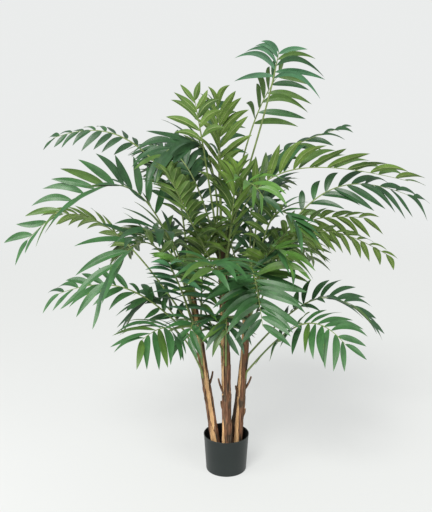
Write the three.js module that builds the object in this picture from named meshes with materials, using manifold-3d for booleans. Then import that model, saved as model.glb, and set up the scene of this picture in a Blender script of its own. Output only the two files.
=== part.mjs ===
// Artificial parlor palm in a plastic pot: four wooden stems with silk fronds.
// Units are millimetres and +Z is up. The origin is the middle of the pot's flat underside,
// -Y faces the viewer of the photograph and +X is to the viewer's right.

import * as THREE from 'three';
import { mergeVertices } from 'three/addons/utils/BufferGeometryUtils.js';
import Module from 'manifold-3d';

const wasm = await Module();
wasm.setup();

// Pot
const POT_HEIGHT = 143;
const POT_RIM_RADIUS = 85;
const POT_FOOT_RADIUS = 76;
const POT_WALL = 2.5;
const POT_FLOOR = 3;
const POT_EDGE = 2;
const POT_SIDES = 28;

// Cement fill that holds the stems
const FILL_TOP = 80;
const FILL_SIDES = 28;

// Clear gap between pieces that stand against each other, and around a leaf
const SEAT_GAP = 0.3;
const LEAF_GAP = 1.2;

// Stems: foot and tip centres, radii at foot and tip, and how far the middle bows sideways in X
const STEM_FOOT = FILL_TOP + SEAT_GAP;
const STEMS = {
  left: { foot: [-38, -12], tip: [-130, -8], top: 720, radii: [16, 12.5], bow: 2 },
  centre: { foot: [4, -24], tip: [-19, 5], top: 885, radii: [18, 14], bow: 3 },
  right: { foot: [42, 2], tip: [76, -8], top: 715, radii: [15.5, 12.5], bow: 3 },
  back: { foot: [22, 42], tip: [86, 55], top: 640, radii: [11.5, 9], bow: 2 },
};
const STEM_SIDES = 10;
const FLARE = 4;
const FLARE_HEIGHT = 45;
const SHEATH_LENGTH = 110;
const SHEATH_STEP = 1.2;
const SHEATH_LIP = 1.5;

// Stumps of cut frond stalks: stem, height, bearing, length, and lean from the vertical in degrees
const STUMPS = [
  ['left', 345, 10, 52, 16],
  ['left', 300, 150, 34, 22],
  ['centre', 318, 200, 60, 20],
  ['centre', 286, -50, 40, 14],
  ['centre', 244, 165, 36, 16],
  ['right', 322, -8, 58, 26],
  ['right', 296, 195, 44, 18],
  ['right', 214, -20, 34, 18],
  ['back', 300, 70, 40, 18],
];
const STUMP_RADII = [5.5, 3.2];
const STUMP_SIDES = 5;

// Fronds. The stalk leaves its stem at the foot height, on the bearing in degrees from +X
// towards +Y. Reach and rise lead from there to the frond's tip, and the knee is the corner
// that its arch bends under. Roll turns the blade about its rib. Bare is the share of the rib
// without leaflets. Angle and tipAngle are the degrees between a leaflet and the rib, at the
// first pair and at the last, lift raises the leaflets, droop is their sag by length, and face
// turns each about its own length, so that its top looks towards the frond's tip.
const FROND_COLUMNS = [
  'name', 'stem', 'foot', 'bearing', 'reach', 'rise', 'kneeOut', 'kneeUp', 'roll',
  'pairs', 'leaf', 'bare', 'angle', 'tipAngle', 'lift', 'droop', 'face',
];
const FROND_ROWS = [
  ['left_high', 'centre', 820, 176, 585, 430, 290, 530, -30, 8, 88, 0.5, 60, 31, -15, 0.16, 0],
  ['left_mid', 'left', 690, -172, 570, 215, 175, 595, -40, 12, 165, 0.34, 41, 36, 45, 0.04, 0],
  ['left_inner', 'left', 540, 172, 500, 435, 300, 455, 45, 7, 120, 0.5, 44, 24, 5, 0.2, 0],
  ['left_front', 'left', 560, -139, 400, 225, 190, 510, -10, 6, 200, 0.45, 44, 18, 30, 0.1, 0],
  ['left_low', 'left', 500, 180, 505, 195, 250, 290, -30, 6, 132, 0.5, 50, 32, 10, 0.2, 0],
  ['left_skirt', 'left', 385, -128, 325, 230, 150, 285, -12, 7, 165, 0.5, 66, 34, -10, 0.2, 0],
  ['left_skirt_back', 'left', 430, 160, 270, 165, 165, 305, -20, 7, 140, 0.45, 46, 28, 5, 0.16, 0],
  ['left_front_high', 'left', 630, -128, 230, 330, 110, 370, -20, 5, 185, 0.5, 56, 29, 20, 0.16, 0],
  ['left_inner_front', 'left', 520, -60, 90, 440, 10, 360, 0, 8, 150, 0.45, 54, 26, 10, 0.2, 25],
  ['left_upright', 'centre', 805, -122, 165, 585, 115, 440, 0, 5, 128, 0.64, 68, 30, 0, 0.03, 0],
  ['front_left_high', 'centre', 840, -148, 245, 360, 20, 505, -30, 7, 170, 0.55, 42, 22, 0, 0.16, 0],
  ['high_left_rear', 'centre', 800, 135, 400, 400, 150, 420, -25, 9, 150, 0.42, 54, 28, 0, 0.16, 0],
  ['back_upright', 'centre', 850, 98, 150, 500, 90, 380, 40, 7, 140, 0.5, 64, 40, 30, 0.24, 0],
  ['upper_centre', 'centre', 850, -98, 90, 520, 40, 350, -20, 6, 175, 0.52, 40, 24, 15, 0.16, 0],
  ['crown_top', 'centre', 880, 25, 215, 590, 100, 450, 85, 6, 175, 0.56, 54, 40, 35, 0.34, 0],
  ['crown_tip', 'centre', 865, -35, 212, 676, 182, 520, 132, 5, 165, 0.785, 78, 44, 12, 0.36, 0],
  ['right_high', 'centre', 830, 20, 455, 445, 80, 360, 17, 7, 118, 0.5, 34, 20, -8, 0.2, 0],
  ['right_long', 'centre', 775, -2, 633, 333, 70, 466, -15, 8, 176, 0.46, 44, 33, 65, 0.14, 0],
  ['right_second', 'right', 700, 9, 606, 330, 240, 483, 42, 8, 145, 0.4, 38, 24, 5, 0.28, 0],
  ['right_mid', 'right', 632, -9, 400, 355, 90, 375, -50, 9, 135, 0.4, 62, 34, -10, 0.2, 0],
  ['right_arc', 'right', 590, -8, 485, 265, 155, 455, -50, 10, 92, 0.42, 66, 34, -15, 0.2, 0],
  ['right_inner', 'right', 520, 24, 245, 330, 160, 430, 0, 8, 140, 0.42, 54, 28, 15, 0.16, 0],
  ['right_inner_front', 'right', 530, -46, 200, 320, 85, 430, 0, 8, 150, 0.38, 50, 28, 20, 0.2, 0],
  ['front_right', 'right', 580, -80, 250, 80, 30, 350, 0, 8, 190, 0.5, 88, 46, 14, 0.06, 0],
  ['right_skirt_back', 'right', 450, -5, 440, 155, 260, 330, 10, 8, 140, 0.45, 50, 26, 25, 0.16, 0],
  ['right_skirt', 'right', 385, -42, 430, 222, 270, 342, 20, 7, 138, 0.5, 74, 38, 0, 0.2, 0],
  ['front_left_low', 'centre', 470, -135, 240, 400, 190, 370, 0, 9, 140, 0.35, 80, 44, 0, 0.22, 70],
  ['front_centre', 'centre', 560, -97, 360, 320, 180, 340, 0, 7, 185, 0.42, 70, 34, 10, 0.22, 20],
  ['front_bright', 'centre', 784, -60, 250, 300, 95, 410, 0, 6, 150, 0.42, 54, 28, 30, 0.26, 20],
  ['front_high', 'centre', 740, -72, 125, 415, 100, 300, 0, 8, 165, 0.35, 40, 22, 20, 0.2, 15],
  ['centre_left_mid', 'centre', 740, -130, 265, 420, 215, 325, 10, 8, 140, 0.35, 52, 26, 15, 0.2, 10],
  ['front_low', 'centre', 430, -90, 190, 185, 110, 290, 0, 7, 128, 0.4, 76, 34, 5, 0.26, 0],
  ['right_front_high', 'right', 668, -50, 240, 305, 110, 440, 0, 8, 135, 0.42, 54, 28, 30, 0.24, 0],
  ['back_left_high', 'left', 700, 108, 400, 380, 150, 460, 0, 9, 175, 0.42, 54, 28, 30, 0.16, 0],
  ['back_left_low', 'left', 600, 130, 430, 170, 180, 370, 0, 9, 165, 0.42, 54, 28, 30, 0.16, 0],
  ['back_right_high', 'right', 700, 72, 380, 330, 150, 400, 0, 9, 170, 0.42, 54, 28, 30, 0.16, 0],
  ['back_right_low', 'right', 560, 48, 400, 190, 170, 380, 0, 9, 165, 0.42, 54, 28, 30, 0.16, 0],
  ['rear_left', 'back', 560, 112, 430, 200, 160, 420, 0, 8, 170, 0.42, 54, 28, 30, 0.16, 0],
  ['rear_low', 'back', 470, 95, 420, 150, 150, 340, 0, 8, 165, 0.42, 54, 28, 30, 0.16, 0],
  ['rear_right', 'back', 520, 72, 430, 180, 150, 400, 0, 8, 170, 0.42, 54, 28, 30, 0.16, 0],
  ['rear_high', 'back', 610, 86, 420, 360, 130, 460, 0, 9, 175, 0.42, 54, 28, 30, 0.16, 0],
  ['left_comb', 'left', 465, -112, 255, 405, 145, 280, 0, 8, 130, 0.38, 80, 48, 0, 0.22, 62],
  ['left_low_front', 'left', 432, -104, 180, 160, 90, 255, 0, 6, 118, 0.42, 76, 34, 5, 0.28, 0],
];

// Rib of a frond: radius at root, where the leaflets begin, and at the tip
const RIB_RADII = [4.6, 3.2, 1.5];
const RIB_STEPS = 12;
const RIB_SIDES = 3;
const RIB_FULLNESS = 0.8;
const ROOT_OFFSET = 9;

// Leaflets, paired along the rib. They are longest past the middle of the leafy part and
// shorten towards its tip.
const LEAF_HALF = 16.5;
const LEAF_SUNK_SHARE = 0.4;
const LEAF_THICK = 2.6;
const LEAF_WIDEST = 0.42;
const LEAF_STAGGER = 0.35;
const LEAF_LAST = 0.985;
const LEAF_FULLNESS = [0.84, 0.22];
const LEAF_FULLNESS_START = 0.1;
const LEAF_TIP_SHARE = 0.7;
const LIFT_LOSS = 0.5;
// Spread of the seeded chance: angle, lift and twist in degrees, length share and droop
const CHANCE = { angle: 10, lift: 12, twist: 30, length: 0.14, droop: 0.12 };
const CHANCE_SEED = [7919, 104729];
const CHANCE_STEP = 16807;
const CHANCE_MODULUS = 2147483647;
// A leaflet that would touch a neighbour is tried again, lifted by these angles, or left out
const LEAF_TRIES = [0, 14, -14, 28, -28];

// Corners nearer than this are one corner
const WELD_DISTANCE = 1e-4;

// Finishes
const POT_LOOK = { color: 0x33393a, roughness: 0.45, metalness: 0 };
const FILL_LOOK = { color: 0x26241f, roughness: 0.95, metalness: 0 };
const STEM_LOOK = { color: 0x6b4a35, roughness: 0.9, metalness: 0 };
const FROND_LOOK = { color: 0x3f6b34, roughness: 0.6, metalness: 0 };

const UP = new THREE.Vector3(0, 0, 1);
const radians = THREE.MathUtils.degToRad;
const blend = THREE.MathUtils.lerp;

// A seeded sequence of numbers from 0 to 1, so that each frond always grows the same leaflets
function chanceFrom(seed) {
  const [factor, offset] = CHANCE_SEED;
  let state = (seed * factor + offset) % CHANCE_MODULUS;
  return () => {
    state = (state * CHANCE_STEP) % CHANCE_MODULUS;
    return state / CHANCE_MODULUS;
  };
}

// Closed solid through rings of points with one count. A first or last ring may be one point.
function solidThroughRings(rings) {
  const faces = [];
  const starts = [];
  let total = 0;
  for (const ring of rings) {
    starts.push(total);
    total += ring.length;
  }
  const corner = (ring, side) => starts[ring] + side % rings[ring].length;
  const count = Math.max(...rings.map((ring) => ring.length));
  for (let ring = 0; ring + 1 < rings.length; ring += 1) {
    for (let side = 0; side < count; side += 1) {
      if (rings[ring].length > 1) {
        faces.push(corner(ring, side), corner(ring, side + 1), corner(ring + 1, side + 1));
      }
      if (rings[ring + 1].length > 1) {
        faces.push(corner(ring, side), corner(ring + 1, side + 1), corner(ring + 1, side));
      }
    }
  }
  const last = rings.length - 1;
  for (let side = 1; side + 1 < count; side += 1) {
    if (rings[0].length > 1) {
      faces.push(corner(0, 0), corner(0, side + 1), corner(0, side));
    }
    if (rings[last].length > 1) {
      faces.push(corner(last, 0), corner(last, side), corner(last, side + 1));
    }
  }
  const geometry = new THREE.BufferGeometry().setFromPoints(rings.flat());
  geometry.setIndex(faces);
  return toManifold(geometry);
}

function toManifold(geometry) {
  const merged = geometry.clone();
  merged.deleteAttribute('normal');
  merged.deleteAttribute('uv');
  const shared = mergeVertices(merged, WELD_DISTANCE);
  return new wasm.Manifold(new wasm.Mesh({
    numProp: 3,
    vertProperties: new Float32Array(shared.attributes.position.array),
    triVerts: new Uint32Array(shared.index.array),
  }));
}

function toGeometry(solid) {
  const mesh = solid.getMesh();
  const geometry = new THREE.BufferGeometry();
  geometry.setAttribute('position', new THREE.BufferAttribute(mesh.vertProperties, 3));
  geometry.setIndex(new THREE.BufferAttribute(mesh.triVerts, 1));
  geometry.computeVertexNormals();
  return geometry;
}

function named(name, geometry, look) {
  const mesh = new THREE.Mesh(geometry, new THREE.MeshStandardMaterial(look));
  mesh.name = name;
  return mesh;
}

// Lathe profiles run from the axis outwards, so the pot and the fill stand upright on +Z
function turned(profile, sides) {
  const points = profile.map(([radius, height]) => new THREE.Vector2(radius, height));
  return new THREE.LatheGeometry(points, sides).rotateX(Math.PI / 2);
}

function potOuterRadius(height) {
  return blend(POT_FOOT_RADIUS, POT_RIM_RADIUS, height / POT_HEIGHT);
}

function makePot() {
  return turned([
    [0, 0],
    [POT_FOOT_RADIUS - POT_EDGE, 0],
    [potOuterRadius(POT_EDGE), POT_EDGE],
    [POT_RIM_RADIUS, POT_HEIGHT],
    [POT_RIM_RADIUS - POT_WALL, POT_HEIGHT],
    [potOuterRadius(POT_FLOOR) - POT_WALL, POT_FLOOR],
    [0, POT_FLOOR],
  ], POT_SIDES);
}

function makeFill() {
  const bottom = POT_FLOOR + SEAT_GAP;
  const inset = POT_WALL + 2 * SEAT_GAP;
  return turned([
    [0, bottom],
    [potOuterRadius(bottom) - inset, bottom],
    [potOuterRadius(FILL_TOP) - inset, FILL_TOP],
    [0, FILL_TOP],
  ], FILL_SIDES);
}

// Centre of a stem at a height: a straight lean with a slight bow
function stemCentre(stem, height) {
  const share = (height - STEM_FOOT) / (stem.top - STEM_FOOT);
  const bow = stem.bow * 4 * share * (1 - share);
  return new THREE.Vector3(
    blend(stem.foot[0], stem.tip[0], share) + bow,
    blend(stem.foot[1], stem.tip[1], share),
    height,
  );
}

function stemRadius(stem, height) {
  const share = (height - STEM_FOOT) / (stem.top - STEM_FOOT);
  const flare = FLARE * Math.exp(-(height - STEM_FOOT) / FLARE_HEIGHT);
  return blend(stem.radii[0], stem.radii[1], share) + flare;
}

// One stem with level rings: each leaf sheath widens upwards and ends in a small step.
// Extra widens it, to cut away what would touch it.
function makeStem(stem, extra = 0) {
  const rings = [];
  const ring = (height, wide) => {
    const centre = stemCentre(stem, height);
    const radius = stemRadius(stem, height) + wide + extra;
    const points = [];
    for (let side = 0; side < STEM_SIDES; side += 1) {
      const turn = side / STEM_SIDES * 2 * Math.PI;
      points.push(new THREE.Vector3(Math.cos(turn), Math.sin(turn), 0).multiplyScalar(radius).add(centre));
    }
    return points;
  };
  rings.push(ring(STEM_FOOT - extra, 0));
  const sheaths = Math.round((stem.top - STEM_FOOT) / SHEATH_LENGTH);
  const length = (stem.top - STEM_FOOT) / sheaths;
  for (let sheath = 1; sheath < sheaths; sheath += 1) {
    const edge = STEM_FOOT + sheath * length;
    rings.push(ring(edge, SHEATH_STEP));
    rings.push(ring(edge + SHEATH_LIP, 0));
  }
  const top = ring(stem.top, 0);
  top.forEach((point) => { point.z += extra; });
  rings.push(top);
  return solidThroughRings(rings);
}

function ringAcross(centre, along, side, radius, sides) {
  const other = new THREE.Vector3().crossVectors(along, side);
  const points = [];
  for (let corner = 0; corner < sides; corner += 1) {
    const turn = (corner + 0.5) / sides * 2 * Math.PI;
    points.push(centre.clone()
      .addScaledVector(side, Math.cos(turn) * radius)
      .addScaledVector(other, Math.sin(turn) * radius));
  }
  return points;
}

function makeStump([stemName, height, bearing, length, lean]) {
  const stem = STEMS[stemName];
  const out = new THREE.Vector3(Math.cos(radians(bearing)), Math.sin(radians(bearing)), 0);
  const along = UP.clone().multiplyScalar(Math.cos(radians(lean)))
    .addScaledVector(out, Math.sin(radians(lean)));
  const side = new THREE.Vector3(-out.y, out.x, 0);
  const start = stemCentre(stem, height).addScaledVector(out, stemRadius(stem, height) - STUMP_RADII[0]);
  const end = start.clone().addScaledVector(along, length);
  return solidThroughRings([
    ringAcross(start, along, side, STUMP_RADII[0], STUMP_SIDES),
    ringAcross(end, along, side, STUMP_RADII[1], STUMP_SIDES),
  ]);
}

function makeStemWithStumps(name) {
  const stumps = STUMPS.filter((row) => row[0] === name).map(makeStump);
  return wasm.Manifold.union([makeStem(STEMS[name]), ...stumps]);
}

// The rib's curve lies in the upright plane of its bearing
function ribCurve(frond) {
  const stem = STEMS[frond.stem];
  const out = new THREE.Vector3(Math.cos(radians(frond.bearing)), Math.sin(radians(frond.bearing)), 0);
  const root = stemCentre(stem, frond.foot).addScaledVector(out, ROOT_OFFSET);
  const tip = root.clone().addScaledVector(out, frond.reach).addScaledVector(UP, frond.rise);
  const knee = root.clone().addScaledVector(out, frond.kneeOut).addScaledVector(UP, frond.kneeUp);
  const curve = new THREE.CubicBezierCurve3(
    root,
    root.clone().lerp(knee, RIB_FULLNESS),
    tip.clone().lerp(knee, RIB_FULLNESS),
    tip,
  );
  return { curve, side: new THREE.Vector3(-out.y, out.x, 0) };
}

function ribRadius(frond, share) {
  const [root, start, tip] = RIB_RADII;
  if (share < frond.bare) {
    return blend(root, start, share / frond.bare);
  }
  return blend(start, tip, (share - frond.bare) / (1 - frond.bare));
}

function makeRib(frond) {
  const { curve, side } = ribCurve(frond);
  const rings = [];
  for (let step = 0; step <= RIB_STEPS; step += 1) {
    const share = step / RIB_STEPS;
    rings.push(ringAcross(curve.getPoint(share), curve.getTangent(share), side,
      ribRadius(frond, share), RIB_SIDES));
  }
  return solidThroughRings(rings);
}

// Where each leaflet of a frond stands, before any change to clear a neighbour
function leafletPlaces(frond, seed) {
  const { curve, side } = ribCurve(frond);
  const chance = chanceFrom(seed);
  const spread = (range) => (chance() - 0.5) * range;
  const places = [];
  for (let pair = 0; pair < frond.pairs; pair += 1) {
    for (const hand of [1, -1]) {
      const along = (pair + (hand > 0 ? LEAF_STAGGER : 0)) / (frond.pairs - 1 + LEAF_STAGGER);
      const share = frond.bare + (1 - frond.bare) * along * LEAF_LAST;
      const angle = radians(blend(frond.angle, frond.tipAngle, along) + spread(CHANCE.angle));
      const lift = frond.lift * (1 - LIFT_LOSS * along) + spread(CHANCE.lift);
      const swell = Math.sin(Math.PI * blend(LEAF_FULLNESS_START, 1, along));
      const fullness = LEAF_FULLNESS[0] + LEAF_FULLNESS[1] * swell;
      const taper = 1 - (1 - LEAF_TIP_SHARE) * along * along;
      const length = frond.leaf * fullness * taper * (1 + spread(CHANCE.length));
      const droop = frond.droop + CHANCE.droop * chance();
      const twist = radians(hand * frond.face + spread(CHANCE.twist));
      const tangent = curve.getTangent(share);
      const across = side.clone().applyAxisAngle(tangent, radians(frond.roll));
      places.push({
        base: curve.getPoint(share),
        ribRadius: ribRadius(frond, share),
        tangent, across, hand, angle, lift, length, droop, twist,
      });
    }
  }
  return places;
}

// One leaflet: a thin blade with a keel below, widest before its middle, sagging to its point
function makeLeaflet(place, extraLift) {
  const { base, tangent, hand, length } = place;
  const across = place.across.clone().multiplyScalar(hand);
  const above = new THREE.Vector3().crossVectors(tangent, place.across);
  const lift = radians(place.lift + extraLift);
  const along = tangent.clone().multiplyScalar(Math.cos(place.angle))
    .addScaledVector(across, Math.sin(place.angle) * Math.cos(lift))
    .addScaledVector(above, Math.sin(place.angle) * Math.sin(lift));
  const wide = tangent.clone().addScaledVector(along, -tangent.dot(along)).normalize();
  wide.applyAxisAngle(along, place.twist).multiplyScalar(-hand);
  const under = new THREE.Vector3().crossVectors(wide, along);
  const centreAt = (share) => base.clone()
    .addScaledVector(along, length * share)
    .addScaledVector(UP, -length * place.droop * share * share);
  const middle = centreAt(LEAF_WIDEST);
  return solidThroughRings([
    [base.clone().addScaledVector(along, -LEAF_SUNK_SHARE * place.ribRadius)],
    [
      middle.clone().addScaledVector(wide, LEAF_HALF),
      middle.clone().addScaledVector(wide, -LEAF_HALF),
      middle.clone().addScaledVector(under, LEAF_THICK),
    ],
    [centreAt(1)],
  ]);
}

// Solids already in place, with their boxes, to keep a new leaflet clear of them
class Neighbours {
  constructor() {
    this.items = [];
  }

  add(owner, solid) {
    const box = solid.boundingBox();
    this.items.push({ owner, solid, box });
  }

  near(owner, box) {
    return this.items.filter((item) => item.owner !== owner && [0, 1, 2].every((axis) => (
      item.box.min[axis] - LEAF_GAP < box.max[axis] && item.box.max[axis] + LEAF_GAP > box.min[axis]
    )));
  }

  clearOf(owner, solid) {
    const reach = 2 * LEAF_GAP;
    return this.near(owner, solid.boundingBox())
      .every((item) => solid.minGap(item.solid, reach) > LEAF_GAP);
  }
}

const fronds = FROND_ROWS.map((row) => (
  Object.fromEntries(row.map((value, column) => [FROND_COLUMNS[column], value]))
));

const stemCutter = wasm.Manifold.union(Object.values(STEMS).map((stem) => makeStem(stem, SEAT_GAP)));
const stemSolids = Object.keys(STEMS).map((name) => [name, makeStemWithStumps(name)]);
const ribs = fronds.map((frond) => makeRib(frond).subtract(stemCutter));

const neighbours = new Neighbours();
stemSolids.forEach(([name, solid]) => neighbours.add(name, solid));
fronds.forEach((frond, index) => neighbours.add(frond.name, ribs[index]));

function makeFrond(frond, index) {
  const leaves = [];
  for (const place of leafletPlaces(frond, index + 1)) {
    for (const extraLift of LEAF_TRIES) {
      const leaf = makeLeaflet(place, extraLift);
      if (neighbours.clearOf(frond.name, leaf)) {
        neighbours.add(frond.name, leaf);
        leaves.push(leaf);
        break;
      }
    }
  }
  return wasm.Manifold.union([ribs[index], ...leaves]);
}

const group = new THREE.Group();
group.name = 'potted_parlor_palm';
group.add(named('pot', makePot(), POT_LOOK));
group.add(named('fill', makeFill(), FILL_LOOK));
stemSolids.forEach(([name, solid]) => group.add(named(`stem_${name}`, toGeometry(solid), STEM_LOOK)));
fronds.forEach((frond, index) => {
  group.add(named(`frond_${frond.name}`, toGeometry(makeFrond(frond, index)), FROND_LOOK));
});

export default group;
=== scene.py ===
# Artificial parlor palm in a plastic pot: the fine surfaces, materials, light and camera.
# Metres, +Z up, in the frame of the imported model: the origin is the middle of the pot's flat
# underside, and -Y faces the viewer of the photograph. The plant's sizes are the source's own,
# in millimetres, and MM turns them into metres.

import math

import bpy
import numpy as np
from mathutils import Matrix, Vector, kdtree, noise


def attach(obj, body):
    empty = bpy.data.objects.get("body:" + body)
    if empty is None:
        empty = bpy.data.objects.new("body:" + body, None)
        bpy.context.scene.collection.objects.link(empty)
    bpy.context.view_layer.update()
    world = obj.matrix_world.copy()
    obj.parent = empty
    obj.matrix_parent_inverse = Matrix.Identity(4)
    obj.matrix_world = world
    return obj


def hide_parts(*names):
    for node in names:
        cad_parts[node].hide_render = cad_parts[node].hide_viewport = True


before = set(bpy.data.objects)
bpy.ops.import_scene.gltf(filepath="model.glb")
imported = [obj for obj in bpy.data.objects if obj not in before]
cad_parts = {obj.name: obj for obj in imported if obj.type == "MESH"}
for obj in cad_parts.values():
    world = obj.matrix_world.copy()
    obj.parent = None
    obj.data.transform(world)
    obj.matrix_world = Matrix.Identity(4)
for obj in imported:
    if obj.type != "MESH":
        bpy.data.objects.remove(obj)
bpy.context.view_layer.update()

MM = 0.001
UP = np.array([0.0, 0.0, 1.0])

# Camera of the photograph
CAMERA_PLACE = (-0.039, -2.71, 1.51)
CAMERA_PITCH_DEGREES = 14
CAMERA_LENS = 54.84
CAMERA_SENSOR = 36

# Pot
POT_HEIGHT = 143
POT_RIM_RADIUS = 85
POT_FOOT_RADIUS = 76
POT_WALL = 2.5
POT_FLOOR = 3
POT_EDGE = 2
POT_SEGMENTS = 144
RIM_LIP = 0.8
RIM_LIP_HEIGHT = 4
RIM_ROUND = 0.7

# The pot's profile: rings of the rounded foot edge, of the side and of the wall inside, how far
# the side's stay from the edge and the lip, and the wall's from the rim and the floor. The
# lip's corners are shares of RIM_LIP outwards and heights over the lip's foot.
EDGE_RINGS, SIDE_RINGS, WALL_RINGS = 5, 12, 8
SIDE_ENDS = (6, 1.5)
WALL_ENDS = (5, 4)
LIP_CORNERS = ((-0.125, -0.5), (0.8, 0.5), (1, 1.2))
LIP_TOP_SHARE = 0.6
UNDERSIDE_RING_SHARE, FLOOR_RING_SHARE = 0.55, 0.5
FLOOR_CORNER = 3

# Cement fill
FILL_TOP = 80
FILL_GAP = 0.6
FILL_RINGS = 26
FILL_SEGMENTS = 96
FILL_RELIEF = 2.5
FILL_EDGE = (1, 2)
FILL_LUMP = 14
FILL_LUMP_NOISE = (1.0, 2.0, 4)
FILL_SEED = 3.0
FILL_CREEP, FILL_CREEP_WIDTH = 2.5, 9
FILL_MIDDLE_DROP = 1.5

# Stems: foot and tip centres, radii at foot and tip, how far the middle bows sideways in X, the
# root flare, and the small step at the end of each old leaf sheath
STEM_FOOT = 80.3
STEMS = {
    "left": dict(foot=(-38, -12), tip=(-130, -8), top=720, radii=(16, 12.5), bow=2),
    "centre": dict(foot=(4, -24), tip=(-19, 5), top=885, radii=(18, 14), bow=3),
    "right": dict(foot=(42, 2), tip=(76, -8), top=715, radii=(15.5, 12.5), bow=3),
    "back": dict(foot=(22, 42), tip=(86, 55), top=640, radii=(11.5, 9), bow=2),
}
FLARE = 4
FLARE_HEIGHT = 45
SHEATH_LENGTH = 110
SHEATH_STEP = 1.2

# Bark: how fine the mesh is, the relief of its fibres, flakes and lumps, the depth of peeled
# wood under it, and the share of the fibres that peeled wood keeps
BARK_SEGMENTS = 96
BARK_STEP = 3.2
FIBRE_WIDTH, FIBRE_LENGTH, FIBRE_HEIGHT = 2.4, 48, 0.8
FLAKE_WIDTH, FLAKE_LENGTH, FLAKE_HEIGHT = 10, 90, 1.3
FLAKE_EDGE = (-0.08, 0.1)
LUMP_WIDTH, LUMP_LENGTH, LUMP_HEIGHT = 26, 80, 1.1
PEEL_DEPTH = 1.3
BARE_FIBRES = 0.25
BARK_SUNK, BARK_INSET, BARK_TOP = 2, 0.4, 0.4
BARK_SEED_STEP = 3.7

# Patches of bark colour: their size, and the noise below which they are grey and above which red
PATCH_LENGTH, PATCH_SCALE = 60, 1.3
GREY_BELOW, RED_ABOVE = -0.22, 0.08

# Peeled stripes of pale wood: stem, height from and to, bearing low and high, half width
# low and high in degrees. A bearing of -90 faces the viewer. The stripes that face the
# viewer, mostly towards the stems' left sides, are also painted highlight for the light that
# falls on the stems from the left; those on the far sides are peeled wood only.
PEELS_AND_LIT_STRIPES = [
    ("left", 96, 168, -104, -104, 42, 30),
    ("left", 182, 334, -78, -80, 26, 27),
    ("left", 318, 690, -93, -92, 26, 31),
    ("left", 322, 384, -68, -44, 8, 8),
    ("left", 260, 640, 70, 84, 22, 26),
    ("centre", 104, 196, -142, -146, 20, 12),
    ("centre", 318, 640, -146, -122, 14, 30),
    ("centre", 150, 420, 48, 62, 16, 24),
    ("centre", 560, 830, 120, 108, 22, 18),
    ("right", 100, 266, -116, -138, 38, 12),
    ("right", 272, 400, -152, -146, 26, 30),
    ("right", 396, 640, -142, -138, 14, 18),
    ("right", 180, 520, 64, 78, 20, 24),
    ("back", 330, 560, 100, 84, 20, 24),
]
PEEL_EDGE_DEGREES = 6
PEEL_END = 26
PEEL_END_SHARPNESS = 4
PEEL_WAVER_DEGREES, PEEL_WAVER_LENGTH = 5, 38
PEEL_SWELL, PEEL_SWELL_LENGTH = 0.25, 21
PEEL_SEED_SCALE = 10

# Stumps of cut frond stalks: stem, height, bearing, length, and lean from the vertical in degrees
STUMPS = [
    ("left", 345, 10, 52, 16),
    ("left", 300, 150, 34, 22),
    ("centre", 318, 200, 60, 20),
    ("centre", 286, -50, 40, 14),
    ("centre", 244, 165, 36, 16),
    ("right", 322, -8, 58, 26),
    ("right", 296, 195, 44, 18),
    ("right", 214, -20, 34, 18),
    ("back", 300, 70, 40, 18),
]
STUMP_RADII = (5.5, 3.2)
STUMP_SEGMENTS = 14
STUMP_STEPS = 9
STUMP_BEND = 3
STUMP_TAPER_POWER = 0.7
STUMP_ROUGHNESS, STUMP_NOISE_AROUND, STUMP_NOISE_ALONG = 0.16, 2, 6
STUMP_CUT_SHARE, STUMP_CUT_RISE = 0.82, 0.5

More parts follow.
